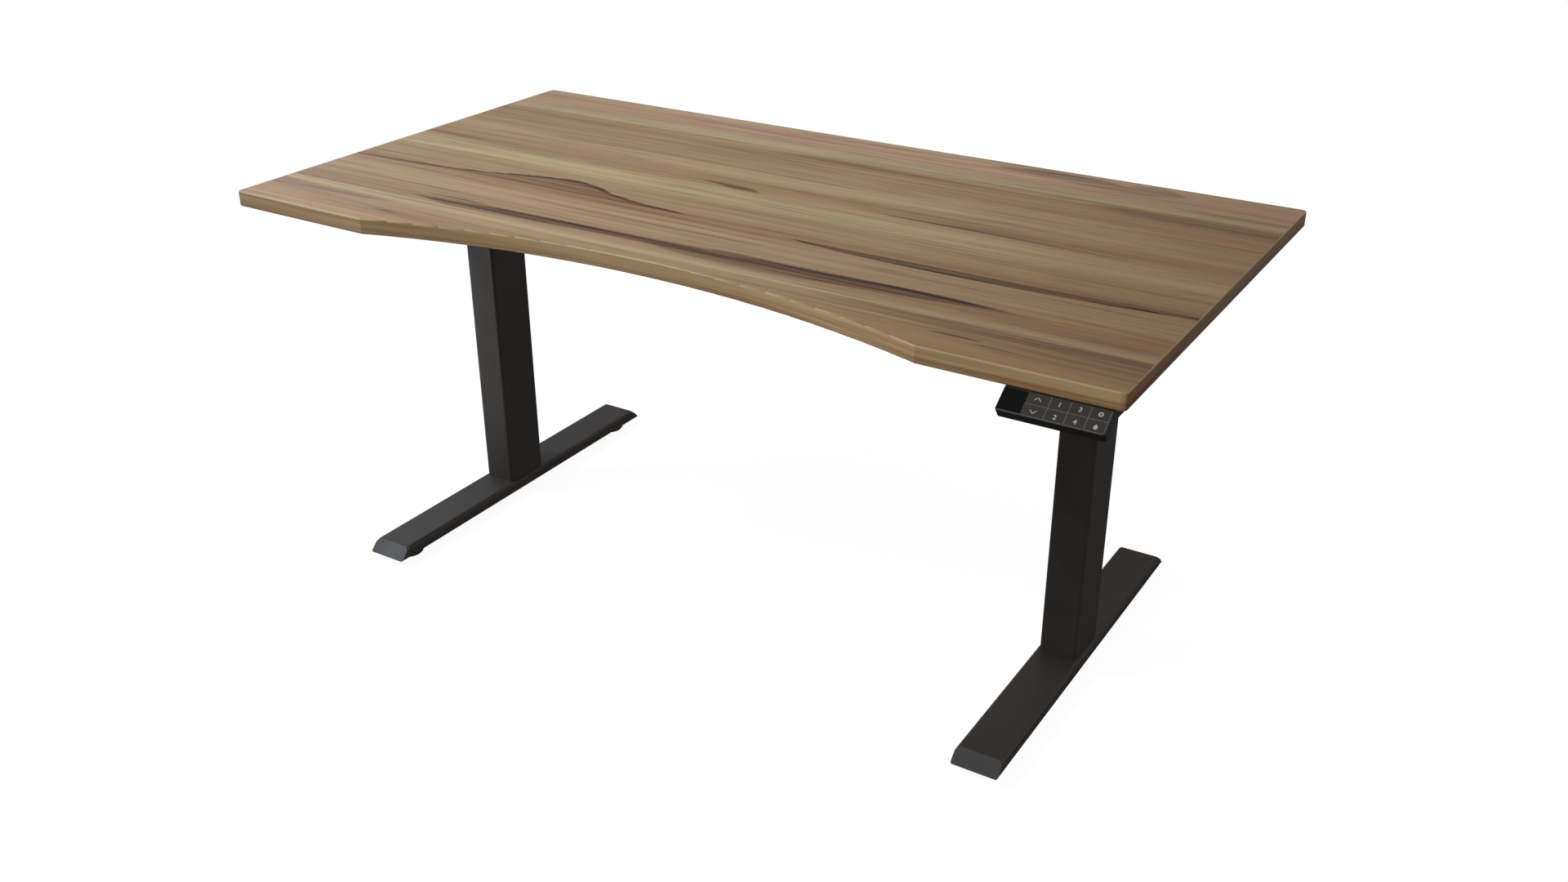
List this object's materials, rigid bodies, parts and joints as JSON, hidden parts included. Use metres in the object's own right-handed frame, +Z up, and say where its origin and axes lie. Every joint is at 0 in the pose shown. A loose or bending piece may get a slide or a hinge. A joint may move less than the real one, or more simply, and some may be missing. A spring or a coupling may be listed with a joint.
{
  "type": "height adjustable standing desk",
  "caption": "Electric sit-stand desk: a wood-grain desktop with a curved front on a black two-column steel frame with telescopic legs, crossbars, levelling feet and a tilted touch handset.",
  "frame": {"origin": "on the floor, midway between the two legs, in the plane of the column centres", "axes": "+X along the desk to the user's right, +Y from the user's side towards the back, +Z up"},
  "size_m": [1.5, 0.8297, 0.668],
  "materials": {
    "wood_top": "satin wood-grain laminate",
    "wood_edge": "satin wood-grain edge band",
    "powder_coat": "fine textured black powder coat",
    "black_plastic": "moulded, matte",
    "guide_plastic": "moulded, low friction",
    "bright_steel": "turned",
    "zinc_steel": "zinc plated",
    "cast_metal": "die cast",
    "green_board": "solder mask",
    "handset_gloss": "smooth touch film",
    "display_gloss": "polished"
  },
  "bodies": {
    "base": {"foot_bolts": "zinc_steel", "foot_end_plates": "powder_coat", "glide_weld_nuts": "zinc_steel", "base_towers": "bright_steel", "base_nuts": "guide_plastic", "outer_collars": "guide_plastic", "left_foot_beam": "powder_coat", "left_outer_tube": "powder_coat", "right_foot_beam": "powder_coat", "right_outer_tube": "powder_coat"},
    "top": {"controller_board": "green_board", "controller_case": "black_plastic", "controller_lid": "black_plastic", "controller_sockets": "black_plastic", "crossbar_rails": "powder_coat", "crossbar_sleeves": "powder_coat", "desktop_board": "wood_top", "desktop_edge_band": "wood_edge", "frame_bolts": "zinc_steel", "gearbox_covers": "cast_metal", "gearbox_screws": "zinc_steel", "handset_back_cover": "black_plastic", "handset_board": "green_board", "handset_display": "display_gloss", "handset_fascia": "handset_gloss", "handset_shell": "black_plastic", "inner_sliders": "guide_plastic", "left_gearbox_housing": "cast_metal", "left_head_cradle": "powder_coat", "left_inner_tube": "powder_coat", "left_motor": "powder_coat", "left_side_bracket": "powder_coat", "right_gearbox_housing": "cast_metal", "right_head_cradle": "powder_coat", "right_inner_tube": "powder_coat", "right_motor": "powder_coat", "right_side_bracket": "powder_coat", "wood_screws": "zinc_steel"},
    "left_middle_stage": {"left_middle_tube": "powder_coat", "left_middle_collar": "guide_plastic", "left_middle_slider": "guide_plastic", "left_middle_tower": "bright_steel", "left_middle_nut": "guide_plastic"},
    "left_hollow_spindle": {"left_hollow_screw": "bright_steel"},
    "left_drive_spindle": {"left_drive_screw": "bright_steel", "left_worm_wheel": "guide_plastic"},
    "left_worm": {"left_worm_shaft": "bright_steel"},
    "left_front_foot_glide": {"left_front_glide": "black_plastic"},
    "left_rear_foot_glide": {"left_rear_glide": "black_plastic"},
    "right_middle_stage": {"right_middle_tube": "powder_coat", "right_middle_collar": "guide_plastic", "right_middle_slider": "guide_plastic", "right_middle_tower": "bright_steel", "right_middle_nut": "guide_plastic"},
    "right_hollow_spindle": {"right_hollow_screw": "bright_steel"},
    "right_drive_spindle": {"right_drive_screw": "bright_steel", "right_worm_wheel": "guide_plastic"},
    "right_worm": {"right_worm_shaft": "bright_steel"},
    "right_front_foot_glide": {"right_front_glide": "black_plastic"},
    "right_rear_foot_glide": {"right_rear_glide": "black_plastic"}
  },
  "joints": [
    {"name": "lift", "type": "slide", "parent": "base", "child": "top", "axis": [0, 0, 1], "range_m": [0, 0.65]},
    {"name": "left_middle_lift", "type": "slide", "parent": "base", "child": "left_middle_stage", "axis": [0, 0, 1], "range_m": [0, 0.325]},
    {"name": "left_hollow_spindle_turn", "type": "hinge", "parent": "left_middle_stage", "child": "left_hollow_spindle", "pos_m": [-0.571, 0, 0.4], "axis": [0, 0, 1], "range_deg": [0, 11700]},
    {"name": "left_drive_spindle_turn", "type": "hinge", "parent": "top", "child": "left_drive_spindle", "pos_m": [-0.571, 0, 0.6], "axis": [0, 0, 1], "range_deg": [0, 11700]},
    {"name": "left_worm_turn", "type": "hinge", "parent": "top", "child": "left_worm", "pos_m": [-0.571, 0.0243, 0.618], "axis": [1, 0, 0], "range_deg": [0, 163800]},
    {"name": "left_front_glide_screw", "type": "slide", "parent": "base", "child": "left_front_foot_glide", "axis": [0, 0, -1], "range_m": [0, 0.01]},
    {"name": "left_rear_glide_screw", "type": "slide", "parent": "base", "child": "left_rear_foot_glide", "axis": [0, 0, -1], "range_m": [0, 0.01]},
    {"name": "right_middle_lift", "type": "slide", "parent": "base", "child": "right_middle_stage", "axis": [0, 0, 1], "range_m": [0, 0.325]},
    {"name": "right_hollow_spindle_turn", "type": "hinge", "parent": "right_middle_stage", "child": "right_hollow_spindle", "pos_m": [0.571, 0, 0.4], "axis": [0, 0, 1], "range_deg": [0, 11700]},
    {"name": "right_drive_spindle_turn", "type": "hinge", "parent": "top", "child": "right_drive_spindle", "pos_m": [0.571, 0, 0.6], "axis": [0, 0, 1], "range_deg": [0, 11700]},
    {"name": "right_worm_turn", "type": "hinge", "parent": "top", "child": "right_worm", "pos_m": [0.571, 0.0243, 0.618], "axis": [1, 0, 0], "range_deg": [0, 163800]},
    {"name": "right_front_glide_screw", "type": "slide", "parent": "base", "child": "right_front_foot_glide", "axis": [0, 0, -1], "range_m": [0, 0.01]},
    {"name": "right_rear_glide_screw", "type": "slide", "parent": "base", "child": "right_rear_foot_glide", "axis": [0, 0, -1], "range_m": [0, 0.01]}
  ],
  "couplings": [
    {"joint": "left_middle_lift", "follows": "lift", "ratio": 0.5},
    {"joint": "left_hollow_spindle_turn", "follows": "lift", "rad_per_m": 314.16},
    {"joint": "left_drive_spindle_turn", "follows": "lift", "rad_per_m": 314.16},
    {"joint": "left_worm_turn", "follows": "lift", "rad_per_m": 4398.2},
    {"joint": "right_middle_lift", "follows": "lift", "ratio": 0.5},
    {"joint": "right_hollow_spindle_turn", "follows": "lift", "rad_per_m": 314.16},
    {"joint": "right_drive_spindle_turn", "follows": "lift", "rad_per_m": 314.16},
    {"joint": "right_worm_turn", "follows": "lift", "rad_per_m": 4398.2}
  ]
}
